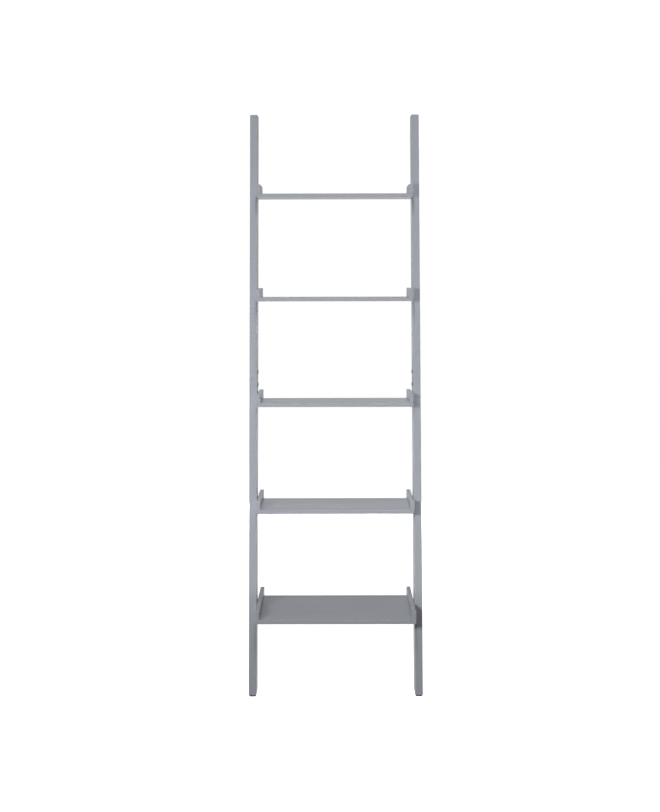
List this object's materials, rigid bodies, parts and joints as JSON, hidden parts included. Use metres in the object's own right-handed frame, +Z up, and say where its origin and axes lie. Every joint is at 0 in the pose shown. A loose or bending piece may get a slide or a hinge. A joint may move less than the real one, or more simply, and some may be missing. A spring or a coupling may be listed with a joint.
{
  "type": "ladder shelf",
  "caption": "Leaning ladder shelf in grey painted wood: two sloping side rails carry open trays with low end boards, deeper towards the floor.",
  "frame": {"origin": "on the floor, under the middle of the whole shelf's bounding box", "axes": "+Z up, +X to the right seen from the front, -Y towards the room, +Y towards the wall that it leans on"},
  "size_m": [0.56, 0.331, 1.885],
  "materials": {
    "painted_wood": "satin grey paint",
    "steel": "zinc plated",
    "rubber": "matt"
  },
  "bodies": {
    "root": {"left_foot_pad": "rubber", "left_nut_plate_1": "steel", "left_nut_plate_2": "steel", "left_nut_plate_3": "steel", "left_nut_plate_4": "steel", "left_nut_plate_5": "steel", "left_rail_lower": "painted_wood", "left_rail_upper": "painted_wood", "left_side_board_1": "painted_wood", "left_side_board_2": "painted_wood", "left_side_board_3": "painted_wood", "left_side_board_4": "painted_wood", "left_side_board_5": "painted_wood", "left_splice_bolt_lower": "steel", "left_splice_bolt_upper": "steel", "left_splice_plate": "steel", "left_tray_bolt_1_front": "steel", "left_tray_bolt_1_rear": "steel", "left_tray_bolt_2_front": "steel", "left_tray_bolt_2_rear": "steel", "left_tray_bolt_3_front": "steel", "left_tray_bolt_3_rear": "steel", "left_tray_bolt_4_front": "steel", "left_tray_bolt_4_rear": "steel", "left_tray_bolt_5_front": "steel", "left_tray_bolt_5_rear": "steel", "left_wall_pad": "rubber", "right_foot_pad": "rubber", "right_nut_plate_1": "steel", "right_nut_plate_2": "steel", "right_nut_plate_3": "steel", "right_nut_plate_4": "steel", "right_nut_plate_5": "steel", "right_rail_lower": "painted_wood", "right_rail_upper": "painted_wood", "right_side_board_1": "painted_wood", "right_side_board_2": "painted_wood", "right_side_board_3": "painted_wood", "right_side_board_4": "painted_wood", "right_side_board_5": "painted_wood", "right_splice_bolt_lower": "steel", "right_splice_bolt_upper": "steel", "right_splice_plate": "steel", "right_tray_bolt_1_front": "steel", "right_tray_bolt_1_rear": "steel", "right_tray_bolt_2_front": "steel", "right_tray_bolt_2_rear": "steel", "right_tray_bolt_3_front": "steel", "right_tray_bolt_3_rear": "steel", "right_tray_bolt_4_front": "steel", "right_tray_bolt_4_rear": "steel", "right_tray_bolt_5_front": "steel", "right_tray_bolt_5_rear": "steel", "right_wall_pad": "rubber", "shelf_board_1": "painted_wood", "shelf_board_2": "painted_wood", "shelf_board_3": "painted_wood", "shelf_board_4": "painted_wood", "shelf_board_5": "painted_wood"}
  },
  "joints": []
}
